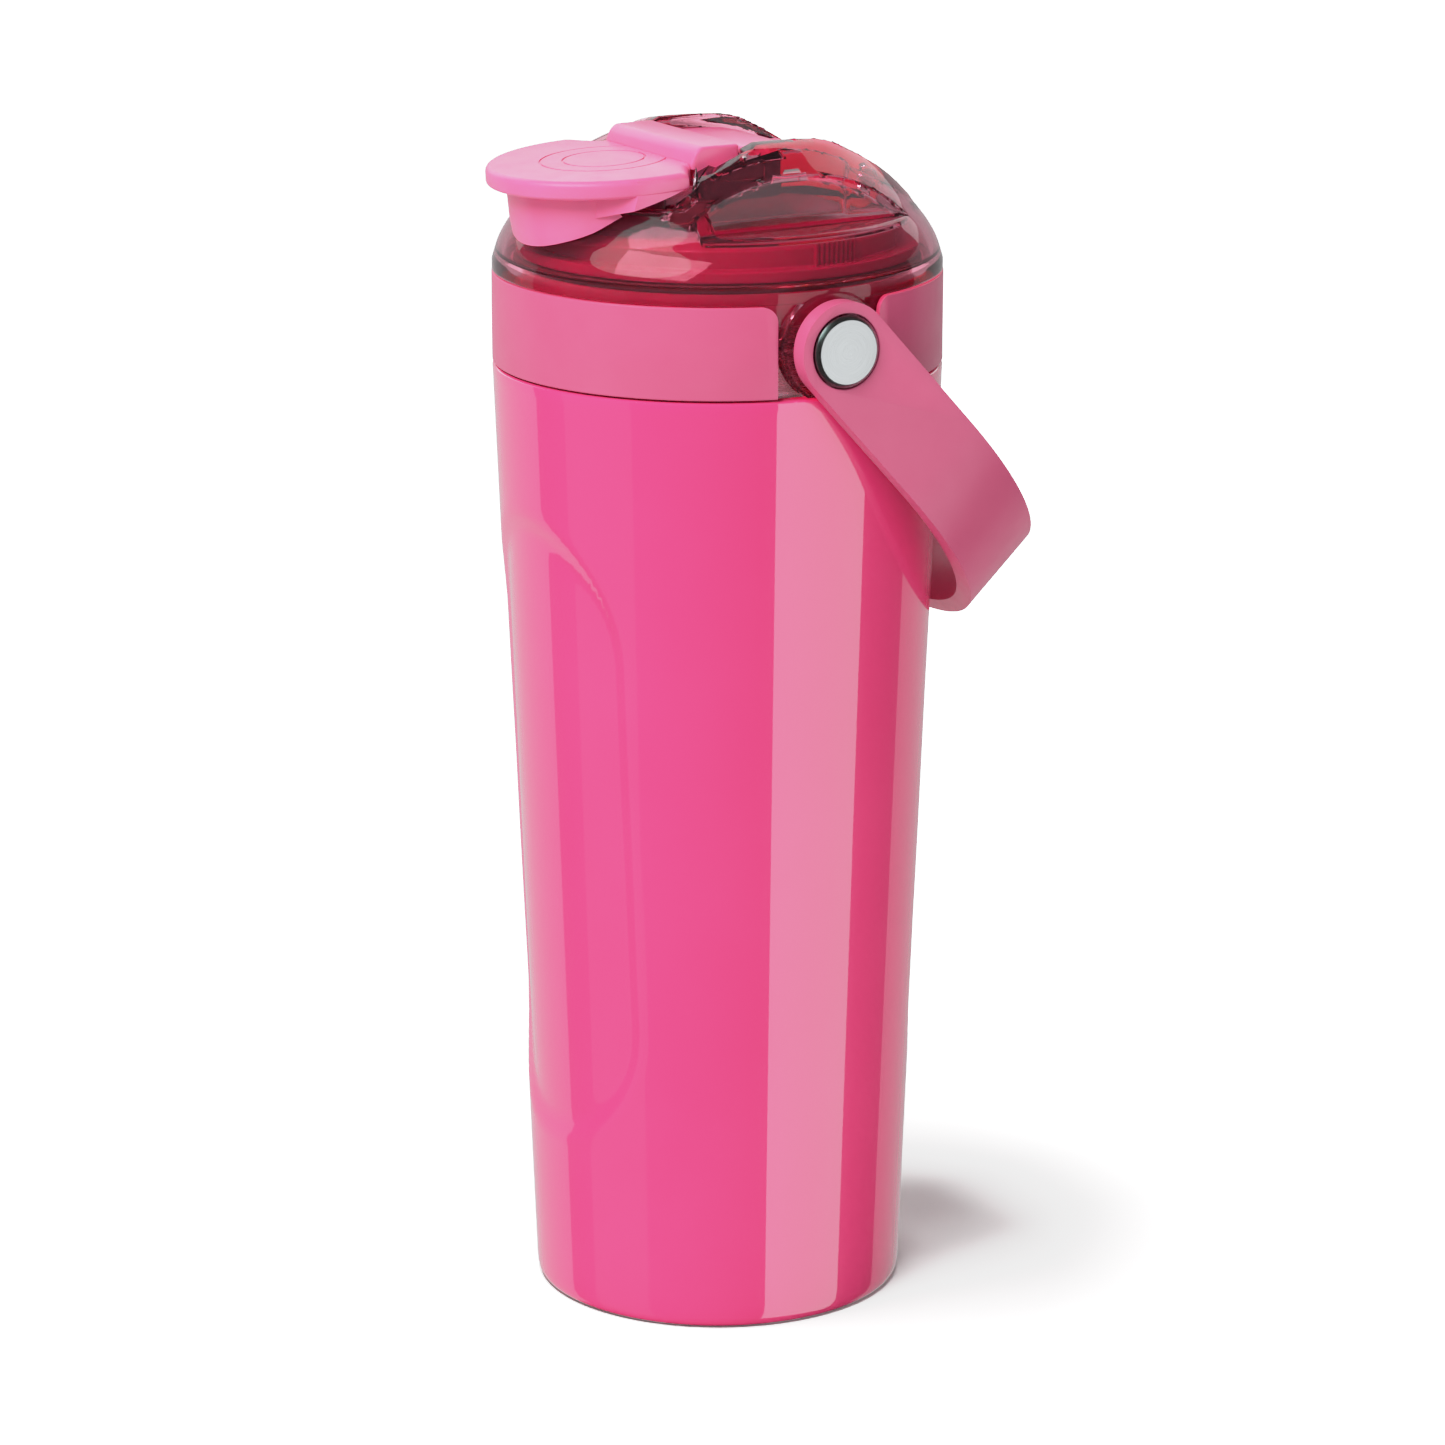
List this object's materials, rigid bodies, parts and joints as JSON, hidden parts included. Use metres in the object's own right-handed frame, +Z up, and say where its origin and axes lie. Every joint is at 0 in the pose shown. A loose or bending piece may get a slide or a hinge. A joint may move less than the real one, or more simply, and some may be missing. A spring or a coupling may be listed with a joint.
{
  "type": "protein shaker bottle",
  "caption": "Double-wall steel shaker bottle with a clear screw lid, flip spout cap with sliding lock, swing handle and mixing grid.",
  "frame": {"origin": "centre of the flat base that the bottle stands on", "axes": "+Z up along the bottle's axis, -Y towards the spout, X along the handle's pivot axis"},
  "size_m": [0.101, 0.1096, 0.2362],
  "materials": {
    "gloss_pink_paint": "high-gloss powder coat over steel",
    "stainless_steel": "brushed",
    "clear_crimson": "clear tinted copolyester, polished",
    "crimson_plastic": "moulded, semi-gloss",
    "dark_silicone": "matt silicone",
    "satin_pink": "satin moulded plastic",
    "cap_pink": "semi-gloss moulded plastic",
    "white_plastic": "plain moulded plastic",
    "brass": "turned"
  },
  "bodies": {
    "bottle": {"outer_shell": "gloss_pink_paint", "base_plate": "stainless_steel", "getter": "stainless_steel", "inner_liner": "stainless_steel"},
    "seal_carrier": {"lid_gasket": "dark_silicone"},
    "lid": {"lid_shell": "clear_crimson", "lid_core": "crimson_plastic", "collar_front": "satin_pink", "collar_back": "satin_pink", "hinge_pin": "stainless_steel", "pivot_insert_right": "brass", "pivot_screw_right": "stainless_steel", "pivot_washer_right": "white_plastic", "pivot_cap_right": "stainless_steel", "pivot_insert_left": "brass", "pivot_screw_left": "stainless_steel", "pivot_washer_left": "white_plastic", "pivot_cap_left": "stainless_steel"},
    "handle": {"handle": "satin_pink", "pivot_bush_right": "white_plastic", "pivot_bush_left": "white_plastic"},
    "flip_cap": {"flip_cap": "cap_pink", "spout_seal": "dark_silicone"},
    "lock": {"lock_slide": "cap_pink"},
    "agitator": {"agitator": "white_plastic"}
  },
  "joints": [
    {"name": "lid_rise", "type": "slide", "parent": "bottle", "child": "seal_carrier", "axis": [0, 0, 1], "range_m": [0, 0.024]},
    {"name": "lid_turn", "type": "hinge", "parent": "seal_carrier", "child": "lid", "pos_m": [0, 0, 0.2], "axis": [0, 0, 1], "range_deg": [0, 1080]},
    {"name": "handle_swing", "type": "hinge", "parent": "lid", "child": "handle", "pos_m": [0, 0, 0.2004], "axis": [1, 0, 0], "range_deg": [0, 274]},
    {"name": "cap_flip", "type": "hinge", "parent": "lid", "child": "flip_cap", "pos_m": [0, 0.021, 0.2261], "axis": [-1, 0, 0], "range_deg": [0, 115]},
    {"name": "lock_travel", "type": "slide", "parent": "flip_cap", "child": "lock", "axis": [0, 1, 0], "range_m": [0, 0.0055]},
    {"name": "agitator_pull", "type": "slide", "parent": "lid", "child": "agitator", "axis": [0, 0, -1], "range_m": [0, 0.03]}
  ],
  "couplings": [
    {"joint": "lid_rise", "follows": "lid_turn", "m_per_rad": 0.0012732}
  ]
}
